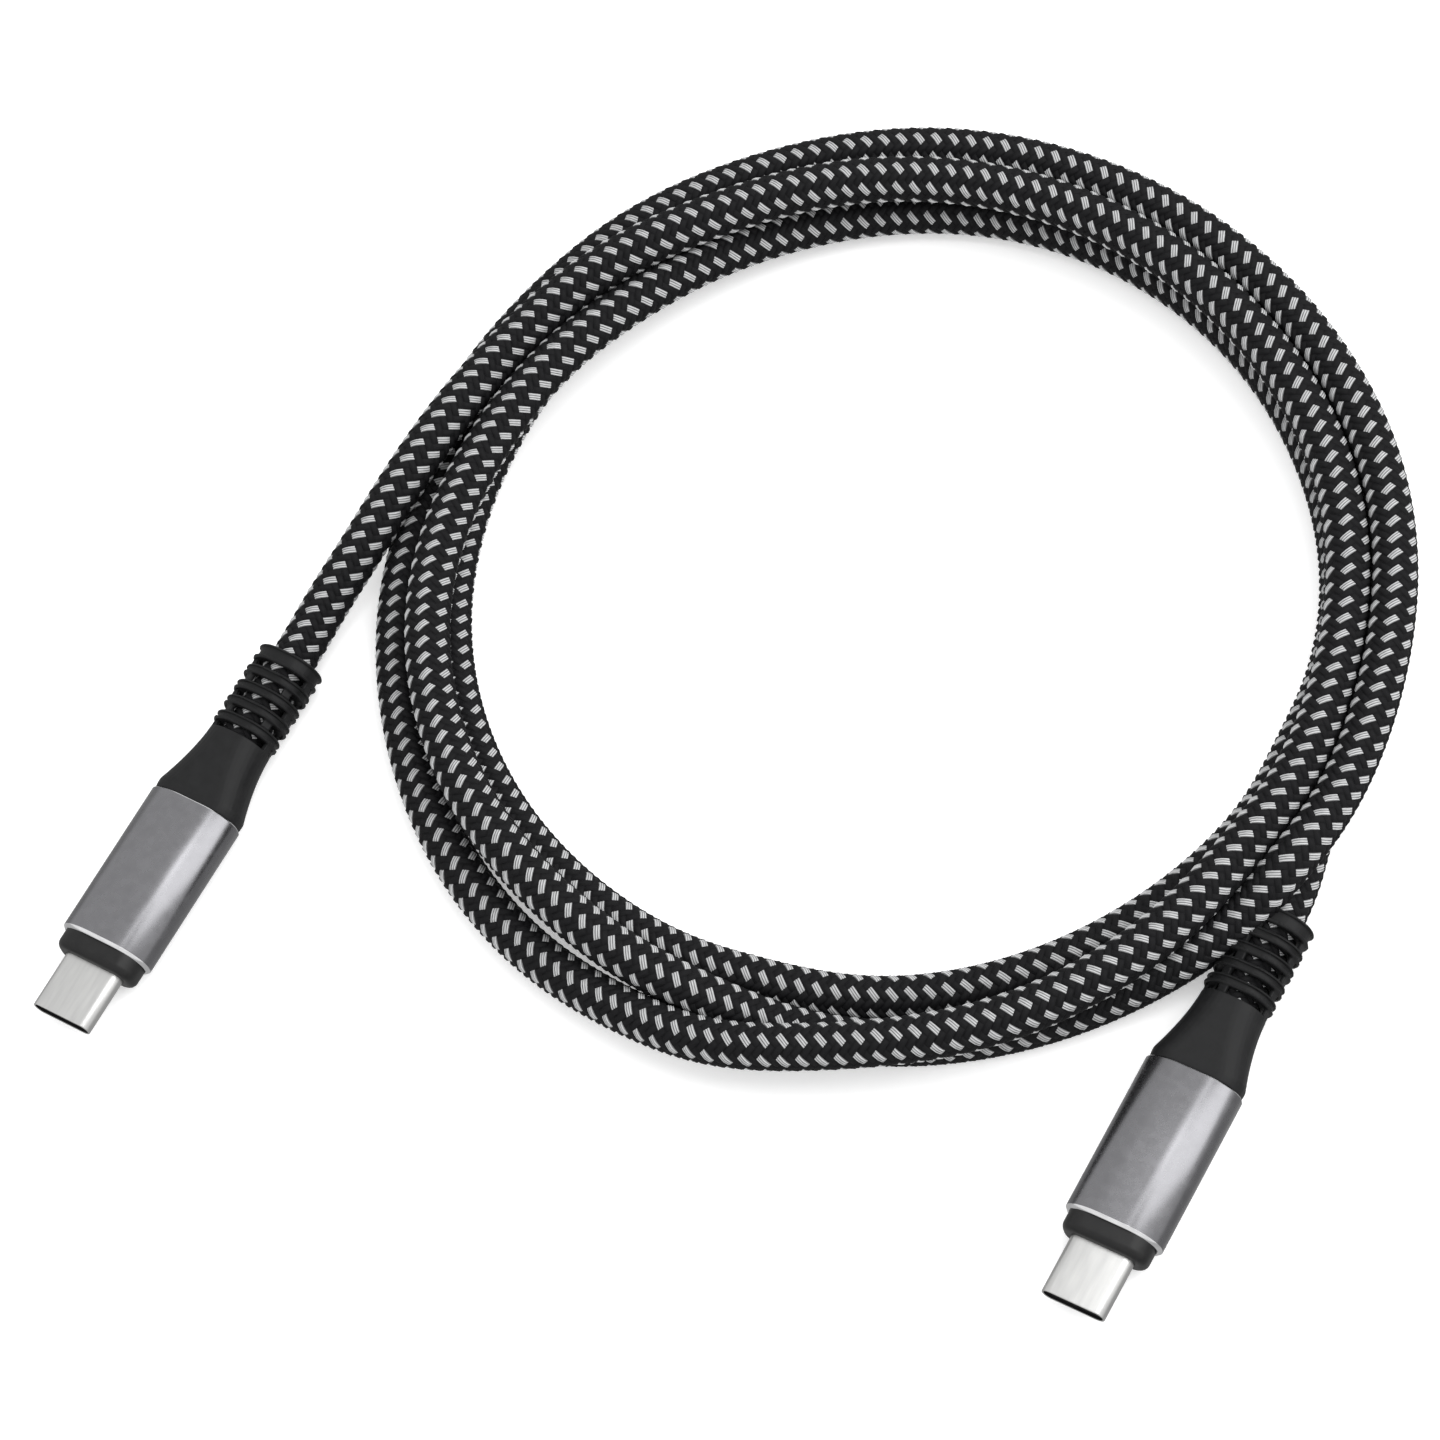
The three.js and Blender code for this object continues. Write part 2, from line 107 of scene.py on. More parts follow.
# The coil: how the turns lie on and beside each other, as stations by degrees
# clockwise from its left side, distance out from COIL_RADIUS, and height
COIL_RADIUS = 58.8
TURN_STATIONS = [
    # first turn: on top, climbing over the second one, then down its outside
    (-5, 16.9, 3.6), (-1, 13.6, 3.8), (6, 8.2, 6.1), (15, 3.4, 8.7), (25, 1.8, 8.8),
    (42, 0.1, 8.8), (54, -1.7, 10.2), (66, -2.8, 10.8), (90, -3.2, 10.6),
    (120, -3.5, 9.9), (150, -3.2, 9.3), (180, -2.0, 8.85), (195, -1.6, 8.85),
    (210, -0.6, 9.1), (225, 0.4, 9.4), (240, 1.9, 9.4), (255, 3.2, 8.7),
    (270, 3.4, 8.2), (290, 4.2, 6.0), (308, 5.0, 3.3), (325, 4.6, 2.95),
    (340, 3.8, 2.95), (360, 3.2, 2.95),
    # second turn: outer floor, outer top at the back and right, then inwards
    (390, 4.3, 2.95), (402, 4.2, 3.4), (413, 2.8, 6.2), (424, 1.7, 7.9),
    (450, 2.3, 8.6), (480, 1.9, 8.8), (510, 2.1, 8.8), (525, 3.1, 8.85),
    (540, 3.5, 8.85), (555, 3.5, 8.7), (570, 4.8, 8.0), (585, 4.5, 5.6),
    (598, 3.2, 3.6), (612, 2.4, 2.95),
    (630, 1.6, 2.95), (648, 0.8, 5.4), (668, -0.6, 8.2), (690, -0.8, 8.2),
    (720, -1.6, 8.5),
    # third turn: down the inside to the inner floor
    (745, -4.4, 8.5), (765, -5.3, 8.0), (785, -5.2, 5.4), (810, -3.6, 2.95),
    (855, -3.4, 2.95), (885, -3.4, 2.95), (900, -2.9, 2.95), (930, -2.9, 2.95),
    (945, -3.6, 2.95), (990, -4.0, 2.95), (1035, -4.5, 2.95), (1050, -4.0, 2.95),
    # last half turn: outwards under the others and along the floor
    (1080, -3.1, 2.95), (1110, -2.5, 2.95), (1140, -0.2, 2.95), (1155, 1.5, 2.95),
    (1170, 2.5, 2.95), (1200, 2.7, 2.95), (1260, 2.7, 2.95), (1272, 2.5, 2.95),
    (1284, 1.7, 2.95), (1294.5, 3.0, 3.2), (1304, 7.5, 3.6),
]
# The stretch of the coil that the cable's line takes, between its two routes
COIL_FREE_FROM = 30.0
COIL_FREE_TO = 1268.0

# How the turns settle: places are compared every SETTLE_STEP degrees, the ends
# outside SETTLE_RANGE are held, and touching strands are pressed a little flat
SETTLE_STEP = 4.0
SETTLE_ROUNDS = 600
SETTLE_RANGE = (18, 1282)
FIRST_PULL = 0.1
LAST_PULL = 0.02
LAST_ROUNDS_FROM = 0.7
EVENING = 0.04
SQUEEZE = 0.95

# The braid: carriers each way, and the axial step from one crossing to the next.
# The cable's line has a point at every half step.
CARRIERS = 12
CROSSING_STEP = 0.56
LINE_SPACING = CROSSING_STEP / 2
CURVE_SPACING = 0.25
SMOOTHING_REACH = 13
LIGHT_EVERY = 2
YARN_LOW = 2.64
YARN_CROWN = 0.31
BRAID_TURN = -0.2
BRAID_PIECES = 4
BRAID_MARGIN = 1.0
CORE_SIDES = 20
CORE_EVERY = 8


# --------------------------------------------------------------- mesh helpers

def coil_middle():
    low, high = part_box("cable_coil")
    return np.array([(low.x + high.x) / 2, (low.y + high.y) / 2, 0.0]) / MM


COIL_MIDDLE = coil_middle()


def new_object(name, points, faces, materials, face_slots=None, uvs=None, smooth=True):
    """A mesh object from points in millimetres in the row frame."""
    mesh = bpy.data.meshes.new(name)
    if isinstance(faces, np.ndarray):
        faces = faces.tolist()
    mesh.from_pydata((np.asarray(points) * MM).tolist(), [], faces)
    for material in materials:
        mesh.materials.append(material)
    if face_slots is not None:
        mesh.polygons.foreach_set("material_index", np.asarray(face_slots, np.int32))
    if uvs is not None:
        layer = mesh.uv_layers.new(name="UVMap")
        index = np.empty(len(mesh.loops), np.int32)
        mesh.loops.foreach_get("vertex_index", index)
        layer.data.foreach_set("uv", np.asarray(uvs, np.float32)[index].ravel())
    mesh.polygons.foreach_set("use_smooth", np.full(len(mesh.polygons), smooth))
    mesh.update()
    made = bpy.data.objects.new(name, mesh)
    bpy.context.scene.collection.objects.link(made)
    return made


def section(width, height, radius, per_corner=8, inset=0.0):
    """Points (x, z) of an outline with round corners, counter-clockwise.

    The radius is one number, or one across and one up for an oval corner.
    """
    across, up = radius if isinstance(radius, tuple) else (radius, radius)
    width = width - 2 * inset
    height = height - 2 * inset
    across = min(max(across - inset, 0.02), width / 2 - 1e-4)
    up = min(max(up - inset, 0.02), height / 2 - 1e-4)
    x, z = width / 2 - across, height / 2 - up
    points = []
    for corner, (cx, cz) in enumerate([(x, z), (-x, z), (-x, -z), (x, -z)]):
        for step in range(per_corner + 1):
            angle = math.pi / 2 * (corner + step / per_corner)
            points.append((cx + across * math.cos(angle), cz + up * math.sin(angle)))
    return np.array(points)


def loft(rings, closed=False):
    """Points and faces through rings given as (y, section); closed joins last to first."""
    count = len(rings[0][1])
    points = [(x, y, z) for y, outline in rings for x, z in outline]
    pairs = len(rings) if closed else len(rings) - 1
    faces = []
    for ring in range(pairs):
        here, there = ring * count, (ring + 1) % len(rings) * count
        for k in range(count):
            after = (k + 1) % count
            faces.append((here + k, here + after, there + after, there + k))
    if not closed:
        faces.append(tuple(range(count))[::-1])
        faces.append(tuple(range((len(rings) - 1) * count, len(rings) * count)))
    return np.array(points), faces


def plug_matrix(side):
    """Takes a plug assembly's own frame to the row frame, in millimetres."""
    x, y, degrees = SLEEVES[side]
    angle = math.radians(degrees)
    along = np.array([math.cos(angle), math.sin(angle), 0.0])
    across = np.array([math.sin(angle), -math.cos(angle), 0.0])
    tip = COIL_MIDDLE + [x, y, AXIS_HEIGHT] - (SLEEVE_START + SLEEVE_LENGTH / 2) * along
    return along, across, tip


def place(side, points):
    along, across, tip = plug_matrix(side)
    points = np.asarray(points, float)
    up = np.array([0.0, 0.0, 1.0])
    return tip + points[:, :1] * across + points[:, 1:2] * along + points[:, 2:] * up


def on_axis(side, station):
    return place(side, [(0.0, station, 0.0)])[0]


def orient_outwards(made):
    """Turns every face outwards, which a loft's own order may not be."""
    work = bmesh.new()
    work.from_mesh(made.data)
    bmesh.ops.recalc_face_normals(work, faces=work.faces)
    work.to_mesh(made.data)
    work.free()


def sharp_by_angle(made, degrees=35):
    made.data.polygons.foreach_set("use_smooth", np.full(len(made.data.polygons), True))
    made.data.set_sharp_from_angle(angle=math.radians(degrees))


# ------------------------------------------------------------------ materials

class Look:
    """A Principled material whose colour, roughness and bump come from noise."""

    def __init__(self, name, roughness=0.5, metallic=0.0, **sockets):
        self.material = bpy.data.materials.new(name)
        self.material.use_nodes = True
        self.nodes = self.material.node_tree.nodes
        self.links = self.material.node_tree.links
        self.shader = self.nodes["Principled BSDF"]
        self.shader.inputs["Roughness"].default_value = roughness
        self.shader.inputs["Metallic"].default_value = metallic
        for socket, value in sockets.items():
            self.shader.inputs[socket.replace("_", " ")].default_value = value

    def coordinates(self, source="Object", turn=0.0, size=(1.0, 1.0, 1.0)):
        """Texture space turned with a plug, whose unit is size along each axis."""
        texture = self.nodes.new("ShaderNodeTexCoord")
        mapping = self.nodes.new("ShaderNodeMapping")
        mapping.vector_type = "TEXTURE"
        mapping.inputs["Rotation"].default_value = (0.0, 0.0, turn)
        mapping.inputs["Scale"].default_value = size
        self.links.new(texture.outputs[source], mapping.inputs["Vector"])
        return mapping.outputs["Vector"]

    def noise(self, vector, scale=1.0, detail=3.0, roughness=0.55):
        node = self.nodes.new("ShaderNodeTexNoise")
        node.inputs["Scale"].default_value = scale
        node.inputs["Detail"].default_value = detail
        node.inputs["Roughness"].default_value = roughness
        self.links.new(vector, node.inputs["Vector"])
        return node.outputs["Fac"]

    def thread_gap_shade(self, threads):
        """Painted shade: 0.3 in the gaps between threads and 0.7 on them, across the UVs."""
        texture = self.nodes.new("ShaderNodeTexCoord")
        split = self.nodes.new("ShaderNodeSeparateXYZ")
        self.links.new(texture.outputs["UV"], split.inputs["Vector"])
        phase = self.maths("MULTIPLY", split.outputs["Y"], 2 * math.pi * threads)
        wave = self.maths("COSINE", phase, 0.0)
        return self.maths("MULTIPLY_ADD", wave, -0.2, 0.5)

    def mixed(self, first, second, share=0.72):
        """A blend of two values, with this share of the second."""
        part = self.maths("MULTIPLY", first, 1 - share)
        return self.maths("MULTIPLY_ADD", second, share, part)

    def maths(self, operation, value, second, third=None):
        node = self.nodes.new("ShaderNodeMath")
        node.operation = operation
        for socket, given in zip(node.inputs, (value, second, third)):
            if isinstance(given, bpy.types.NodeSocket):
                self.links.new(given, socket)
            elif given is not None:
                socket.default_value = given
        return node.outputs["Value"]

    def spread(self, value, low, high):
        """Maps the middle of a noise onto low..high."""
        node = self.nodes.new("ShaderNodeMapRange")
        node.inputs["From Min"].default_value = 0.3
        node.inputs["From Max"].default_value = 0.7
        node.inputs["To Min"].default_value = low
        node.inputs["To Max"].default_value = high
        self.links.new(value, node.inputs["Value"])
        return node.outputs["Result"]

    def colour(self, value, dark, light):
        node = self.nodes.new("ShaderNodeMix")
        node.data_type = "RGBA"
        node.inputs["A"].default_value = (*dark, 1.0)
        node.inputs["B"].default_value = (*light, 1.0)
        self.links.new(self.spread(value, 0.0, 1.0), node.inputs["Factor"])
        self.links.new(node.outputs["Result"], self.shader.inputs["Base Color"])

    def rough(self, value, low, high):
        self.links.new(self.spread(value, low, high), self.shader.inputs["Roughness"])

    def bump(self, value, depth, strength=1.0):
        node = self.nodes.new("ShaderNodeBump")
        node.inputs["Distance"].default_value = depth
        node.inputs["Strength"].default_value = strength
        self.links.new(value, node.inputs["Height"])
        self.links.new(node.outputs["Normal"], self.shader.inputs["Normal"])


def grained(name, dark, light, rough, grain, depth, metallic=0.0, turn=0.0,
            stretch=(1.0, 1.0, 1.0), **sockets):
    """A fine-grained surface; grain and depth are in millimetres."""
    look = Look(name, rough[0], metallic, **sockets)
    size = tuple(grain * MM * part for part in stretch)
    fine = look.noise(look.coordinates(turn=turn, size=size))
    broad = look.noise(look.coordinates(turn=turn, size=tuple(14 * part for part in size)))
    look.colour(broad, dark, light)
    look.rough(broad, *rough)
    look.bump(fine, depth * MM)
    return look.material


def yarn(name, dark, light, rough, fibre_depth, threads=0, **sockets):
    """Yarn with fibre grain along it: the mesh's UVs run along and across each float.

    With threads, painted shade darkens the gaps between that many threads side by side.
    """
    look = Look(name, rough[0], 0.0, **sockets)
    fibres_and_gap_shade = look.noise(look.coordinates("UV", size=(0.7, 0.09, 1.0)), detail=2.0)
    if threads:
        # Painted shade: the gaps between the threads are darkened in the colour here.
        fibres_and_gap_shade = look.mixed(fibres_and_gap_shade, look.thread_gap_shade(threads))
    look.colour(fibres_and_gap_shade, dark, light)
    look.rough(fibres_and_gap_shade, *rough)
    look.bump(fibres_and_gap_shade, fibre_depth * MM)
    return look.material


def turn_of(side):
    return math.radians(SLEEVES[side][2] - 90)


def plug_looks(side):
    """The materials of one plug assembly, their grain turned along its axis."""
    turn = turn_of(side)
    return {
        "nickel": grained("nickel_" + side, (0.50, 0.50, 0.495), (0.57, 0.57, 0.56),
                          (0.30, 0.38), 0.05, 0.002, 1.0, turn, (1.0, 9.0, 1.0)),
        "aluminium": grained("grey_aluminium_" + side, (0.190, 0.189, 0.198),
                             (0.212, 0.211, 0.221), (0.25, 0.29), 0.1, 0.0004, 1.0, turn),
        "bright_edge": grained("cut_aluminium_" + side, (0.66, 0.66, 0.67),
                               (0.80, 0.80, 0.81), (0.12, 0.2), 0.04, 0.0008, 1.0, turn,
                               (3.0, 1.0, 3.0)),
        "elastomer": grained("black_elastomer_" + side, (0.006, 0.0062, 0.0066),
                             (0.010, 0.0102, 0.0108), (0.46, 0.58), 0.09, 0.006, turn=turn,
                             Specular_IOR_Level=0.2),
        "plastic": grained("black_plastic_" + side, (0.006, 0.006, 0.0062),
                           (0.009, 0.009, 0.009), (0.36, 0.46), 0.07, 0.003, turn=turn,
                           Specular_IOR_Level=0.3),
    }


YARN_DARK = yarn("dark_yarn", (0.004, 0.004, 0.0045), (0.010, 0.010, 0.011), (0.5, 0.8), 0.05,
                 Specular_IOR_Level=0.12)
# The light yarn's dark end is mostly painted shade in the gaps between its three threads; the
# rest of its range is fibre streaks.
YARN_LIGHT = yarn("light_yarn", (0.05, 0.05, 0.052), (0.62, 0.625, 0.63), (0.5, 0.75), 0.05, 3,
                  Specular_IOR_Level=0.2)
CORE_LOOK = grained("inner_jacket", (0.005, 0.005, 0.005), (0.009, 0.009, 0.010),
                    (0.7, 0.85), 0.1, 0.01)


# ------------------------------------------------------------------ the cable

def through(x, xs, ys):
    """A smooth curve through the stations (xs, ys), read at x."""
    xs, ys = np.asarray(xs, float), np.asarray(ys, float)
    gaps = np.diff(xs)
    slopes = np.diff(ys) / gaps
    inner = (slopes[:-1] * gaps[1:] + slopes[1:] * gaps[:-1]) / (gaps[:-1] + gaps[1:])
    tangents = np.r_[slopes[0], inner, slopes[-1]]
    k = np.clip(np.searchsorted(xs, x) - 1, 0, len(gaps) - 1)
    t = (x - xs[k]) / gaps[k]
    return (
        (2 * t**3 - 3 * t**2 + 1) * ys[k]
        + (t**3 - 2 * t**2 + t) * gaps[k] * tangents[k]
        + (3 * t**2 - 2 * t**3) * ys[k + 1]
        + (t**3 - t**2) * gaps[k] * tangents[k + 1]
    )


def settled_turns():
    """The coil's turns by degrees, pushed apart until none lies in another.

    Returns the angles and, for each, the distance out from COIL_RADIUS and the
    height. Turns one, two and three rounds apart are at the same place in the
    coil's section, so they are compared there.
    """
    stations = np.array(TURN_STATIONS)
    angles = np.arange(-SETTLE_STEP, stations[-1, 0], SETTLE_STEP)
    wanted = np.column_stack([through(angles, stations[:, 0], stations[:, i]) for i in (1, 2)])
    wanted[:, 1] = np.maximum(wanted[:, 1], CABLE_RADIUS)
    place_now = wanted.copy()
    free = (angles > SETTLE_RANGE[0]) & (angles < SETTLE_RANGE[1])
    per_turn = int(360 / SETTLE_STEP)
    for count in range(SETTLE_ROUNDS):
        pull = FIRST_PULL if count < LAST_ROUNDS_FROM * SETTLE_ROUNDS else LAST_PULL
        move = pull * (wanted - place_now)
        move[1:-1] += EVENING * (place_now[2:] + place_now[:-2] - 2 * place_now[1:-1])
        place_now[free] += move[free]
        for lag in (per_turn, 2 * per_turn, 3 * per_turn) * 2:
            apart = place_now[lag:] - place_now[:-lag]
            distance = np.linalg.norm(apart, axis=1)[:, None]
            overlap = np.maximum(2 * SQUEEZE * CABLE_RADIUS - distance, 0)
            push = 0.5 * overlap * apart / np.maximum(distance, 1e-6)
            shift = np.zeros_like(place_now)
            shift[lag:] += push
            shift[:-lag] -= push
            place_now[free] += shift[free]
            place_now[:, 1] = np.maximum(place_now[:, 1], CABLE_RADIUS)
    return angles, place_now


def resampled(points, spacing):
    """Points at even spacing along a smooth curve through the given ones."""
    points = np.asarray(points, float)
    chord = np.r_[0, np.cumsum(np.linalg.norm(np.diff(points, axis=0), axis=1))]
    fine = np.linspace(0, chord[-1], int(chord[-1] / CURVE_SPACING))
    curve = np.column_stack([through(fine, chord, points[:, i]) for i in range(3)])
    run = np.r_[0, np.cumsum(np.linalg.norm(np.diff(curve, axis=0), axis=1))]
    even = np.arange(0, run[-1], spacing)
    return np.column_stack([np.interp(even, run, curve[:, i]) for i in range(3)])


def smoothed(line, reach):
    """The line with each point at the mean of its neighbours; its straight ends stay."""
    window = np.ones(2 * reach + 1) / (2 * reach + 1)
    result = line.copy()
    for i in range(3):
        result[reach:-reach, i] = np.convolve(line[:, i], window, "valid")
    return result


def cable_line():
    """The cable's centreline, from inside one strain relief to inside the other."""
    inside = SLEEVE_END + 0.3
    stations = (inside, NECK_END, RIBBED_END, RIBBED_END + STRAIGHT_OUT)
    first = [on_axis("left", s) for s in stations]
    last = [on_axis("right", s) for s in stations[::-1]]
    angles, turns = settled_turns()
    keep = (angles > COIL_FREE_FROM) & (angles < COIL_FREE_TO)
    around = np.radians(180 - angles[keep])
    radius = COIL_RADIUS + turns[keep, 0]
    coil = np.column_stack([radius * np.cos(around), radius * np.sin(around), turns[keep, 1]])
    route_in = COIL_MIDDLE + np.array(LEFT_ROUTE)
    route_out = COIL_MIDDLE + np.array(RIGHT_ROUTE[::-1])
    points = np.vstack([first, route_in, COIL_MIDDLE + coil, route_out, last])
    line = resampled(points, LINE_SPACING)
    return smoothed(smoothed(line, SMOOTHING_REACH), SMOOTHING_REACH)


def frames_along(line):
    """Two directions across the line at each point, turning no more than it bends."""
    tangents = np.gradient(line, axis=0)
    tangents /= np.linalg.norm(tangents, axis=1)[:, None]
    normals = np.empty_like(line)
    normal = np.array([0.0, 0.0, 1.0])
    for i, tangent in enumerate(tangents):
        normal = normal - tangent * normal.dot(tangent)
        normal /= np.linalg.norm(normal)
        normals[i] = normal
    return normals, np.cross(tangents, normals)


def on_cable(line, normals, binormals, run, turn, radius):
    """Points at a run along the cable, a turn around it and a radius from its middle."""
    at = np.clip(run / LINE_SPACING, 0, len(line) - 1.001)
    low = at.astype(int)
    part = (at - low)[..., None]

    def between(values):
        return values[low] * (1 - part) + values[low + 1] * part

    across = between(normals) * np.cos(turn)[..., None]
    across = across + between(binormals) * np.sin(turn)[..., None]
    return between(line) + across * radius[..., None]


def cable_core(line, normals, binormals):
    """The round inner jacket under the braid, closed at both ends."""
    sides = CORE_SIDES
    run = np.arange(0, len(line), CORE_EVERY) * LINE_SPACING
    turns = np.linspace(0, 2 * math.pi, sides, endpoint=False)
    runs, around = np.meshgrid(run, turns, indexing="ij")
    points = on_cable(line, normals, binormals, runs, around, np.full(runs.shape, CORE_RADIUS))
    faces = []
    for i in range(len(run) - 1):
        for k in range(sides):
            after = (k + 1) % sides
            faces.append((i * sides + k, i * sides + after, (i + 1) * sides + after,
                          (i + 1) * sides + k))
    faces.append(tuple(range(sides))[::-1])
    faces.append(tuple(range((len(run) - 1) * sides, len(run) * sides)))
    made = new_object("cable_core", points.reshape(-1, 3), faces, [CORE_LOOK])
    orient_outwards(made)
    return made


# A float is the stretch where a yarn passes over two others. Its surface is a
# grid of these places along it (0 to 1) and across it (-1 to 1).
ALONG = np.array([0.0, 0.16, 0.5, 0.84, 1.0])
ACROSS_PLAIN = np.array([-1.0, -0.5, 0.5, 1.0])
ACROSS_THREADS = np.array([-1.0, -0.85, -0.6, -0.3, 0.0, 0.3, 0.6, 0.85, 1.0])
ARCH_POWER = 2.6
GROOVE_AT = 0.3
GROOVE_HEIGHT = 0.45
THREAD_TOP_AT = 0.6
THREAD_TOP_HEIGHT = 0.95
UV_SHIFT = 0.37


def float_grid(across, threads):
    """The grid's places, and how high its surface stands above the yarn's edge."""
    u, v = np.meshgrid(ALONG, across, indexing="ij")
    arch = 1 - np.abs(2 * u - 1) ** ARCH_POWER
    belly = (1 - v**2) ** 0.5
    if threads:
        belly = np.where(np.isclose(np.abs(v), GROOVE_AT), GROOVE_HEIGHT, belly)
        belly = np.where(np.isclose(np.abs(v), THREAD_TOP_AT), THREAD_TOP_HEIGHT, belly)
    return u.ravel(), v.ravel(), (arch * belly).ravel()


def float_faces(across, flipped):
    rows, columns = len(ALONG), len(across)
    faces = []
    for i in range(rows - 1):
        for k in range(columns - 1):
            a = i * columns + k
            quad = (a, a + columns, a + columns + 1, a + 1)
            faces.append(quad[::-1] if flipped else quad)
    return np.array(faces)


def yarn_floats(line, normals, binormals, family, light, run_from, run_to):
    """The floats of one family between two runs: points, faces and UVs.

    A crossing (a, b) of a right-handed yarn a and a left-handed yarn b lies at
    run (b - a) steps and turn (a + b) half spacings. Yarn a is on top where
    (a + b) % 4 is 0 or 1, and yarn b where it is 2 or 3.
    """
    spacing = 2 * math.pi / CARRIERS
    first, last = int(run_from / CROSSING_STEP), int(run_to / CROSSING_STEP)
    a, rise = np.meshgrid(np.arange(CARRIERS), np.arange(first, last), indexing="ij")
    a, rise = a.ravel(), rise.ravel()
    b = a + rise
    right_handed = family == "right_handed"
    is_start = (a + b) % 4 == (0 if right_handed else 2)
    is_light = (a % LIGHT_EVERY == 0) if right_handed else np.zeros(len(a), bool)
    chosen = is_start & (is_light == light)
    a, b = a[chosen], b[chosen]
    u, v, height = float_grid(ACROSS_THREADS if light else ACROSS_PLAIN, light)
    sense = 1 if right_handed else -1
    run0 = (b - a)[:, None] * CROSSING_STEP
    turn0 = (a + b)[:, None] * spacing / 2
    run = run0 + sense * CROSSING_STEP * (-0.5 + 2 * u - 0.5 * v)
    turn = BRAID_TURN + turn0 + spacing * (-0.25 + u + 0.25 * v)
    radius = np.broadcast_to(YARN_LOW + YARN_CROWN * height, run.shape)
    points = on_cable(line, normals, binormals, run, turn, radius).reshape(-1, 3)
    pattern = float_faces(ACROSS_THREADS if light else ACROSS_PLAIN, right_handed)
    base = np.arange(len(a))[:, None, None] * len(u)
    faces = (pattern[None] + base).reshape(-1, 4)
    uv = np.tile(np.column_stack([u, v / 2 + 0.5]), (len(a), 1))
    uv[:, 0] += np.repeat(np.arange(len(a)) * UV_SHIFT % 7, len(u))
    return points, faces, uv


def braid_piece(name, line, normals, binormals, run_from, run_to):
    """One stretch of the braid, its dark floats and its light ones."""
    groups = [("right_handed", False), ("left_handed", False), ("right_handed", True)]
    points, faces, uvs, slots = [], [], [], []
    offset = 0
    for family, light in groups:
        p, f, uv = yarn_floats(line, normals, binormals, family, light, run_from, run_to)
        points.append(p)
        faces.append(f + offset)
        uvs.append(uv)
        slots.append(np.full(len(f), 1 if light else 0))
        offset += len(p)
    return new_object(name, np.vstack(points), np.vstack(faces), [YARN_DARK, YARN_LIGHT],
                      np.concatenate(slots), np.vstack(uvs))


def make_cable():
    line = cable_line()
    normals, binormals = frames_along(line)
    core = cable_core(line, normals, binormals)
    total = (len(line) - 1) * LINE_SPACING
    braids = []
    for i in range(BRAID_PIECES):
        start = BRAID_MARGIN + (total - 2 * BRAID_MARGIN) * i / BRAID_PIECES
        end = BRAID_MARGIN + (total - 2 * BRAID_MARGIN) * (i + 1) / BRAID_PIECES
        braids.append(braid_piece(f"braid_{i + 1}", line, normals, binormals, start, end))
    for piece in [core, *braids]:
        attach(piece, "root")
    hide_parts("left_tail", "right_tail", "cable_coil", "left_cable_end",
                "right_cable_end")
    return core


# ------------------------------------------------------------- plug assemblies

def finish_piece(made, side, node):
    orient_outwards(made)
    sharp_by_angle(made)
    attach(made, "root")
    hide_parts(f"{side}_{node}")


def tongue(side, looks):
    """The plug's drawn shell, its mouth rolled over a small radius and lined in black."""

    def ring(y, inset):
        return y, section(PLUG_WIDTH, PLUG_HEIGHT, PLUG_HEIGHT / 2, 10, inset)

    lip = PLUG_WALL / 2
    outside = [ring(lip * (1 - math.sin(t)), lip * (1 - math.cos(t)))
               for t in np.radians([90, 60, 30, 0])]
    rings = [*outside, ring(PLUG_END, 0.0), ring(PLUG_END, PLUG_WALL),
             ring(LINING_START, PLUG_WALL)]
    points, faces = loft(rings, closed=True)
    lining = len(rings) - 2
    slots = [1 if k // len(rings[0][1]) == lining else 0 for k in range(len(faces))]
    made = new_object(f"{side}_tongue", place(side, points), faces,
                      [looks["nickel"], looks["plastic"]], slots)
    finish_piece(made, side, "plug_shell")


def collar(side, looks):
    """The black collar, round at its front edge, with a slot for the tongue."""
    edge = COLLAR_EDGE

    def ring(y, inset):
        return y, section(COLLAR_WIDTH, COLLAR_HEIGHT, COLLAR_RADIUS, 10, inset)

    def slot_ring(y):
        return y, section(PLUG_WIDTH + 0.1, PLUG_HEIGHT + 0.1, PLUG_HEIGHT / 2 + 0.05, 10)

    front = [ring(TONGUE_LENGTH + edge * (1 - math.sin(t)), edge * (1 - math.cos(t)))
             for t in np.radians([90, 72, 54, 36, 18, 0])]
    rings = [*front, ring(COLLAR_END, 0.0), slot_ring(COLLAR_END), slot_ring(TONGUE_LENGTH)]
    points, faces = loft(rings, closed=True)
    made = new_object(f"{side}_collar", place(side, points), faces, [looks["plastic"]])
    finish_piece(made, side, "front_collar")


def metal_sleeve(side, looks):
    """The aluminium sleeve, with a bright cut chamfer in front and a fine one behind."""
    chamfer, back = FRONT_CHAMFER, BACK_CHAMFER

    def ring(y, inset):
        return y, section(SLEEVE_WIDTH, SLEEVE_HEIGHT, SLEEVE_RADIUS, 12, inset)

    rings = [
        ring(SLEEVE_START + 0.02, SLEEVE_WALL),
        ring(SLEEVE_START, chamfer + 0.05),
        ring(SLEEVE_START + 0.03, chamfer),
        ring(SLEEVE_START + chamfer, 0.03),
        ring(SLEEVE_START + chamfer + 0.08, 0.0),
        ring(SLEEVE_END - back - 0.05, 0.0),
        ring(SLEEVE_END - back, 0.02),
        ring(SLEEVE_END, back),
        ring(SLEEVE_END, SLEEVE_WALL),
    ]
    points, faces = loft(rings, closed=True)
    per_ring = len(rings[0][1])
    bright = {0, 1, 2, 3, 6, 7}
    slots = [1 if k // per_ring in bright else 0 for k in range(len(faces))]
    made = new_object(f"{side}_metal_sleeve", place(side, points), faces,
                      [looks["aluminium"], looks["bright_edge"]], slots)
    finish_piece(made, side, "sleeve")


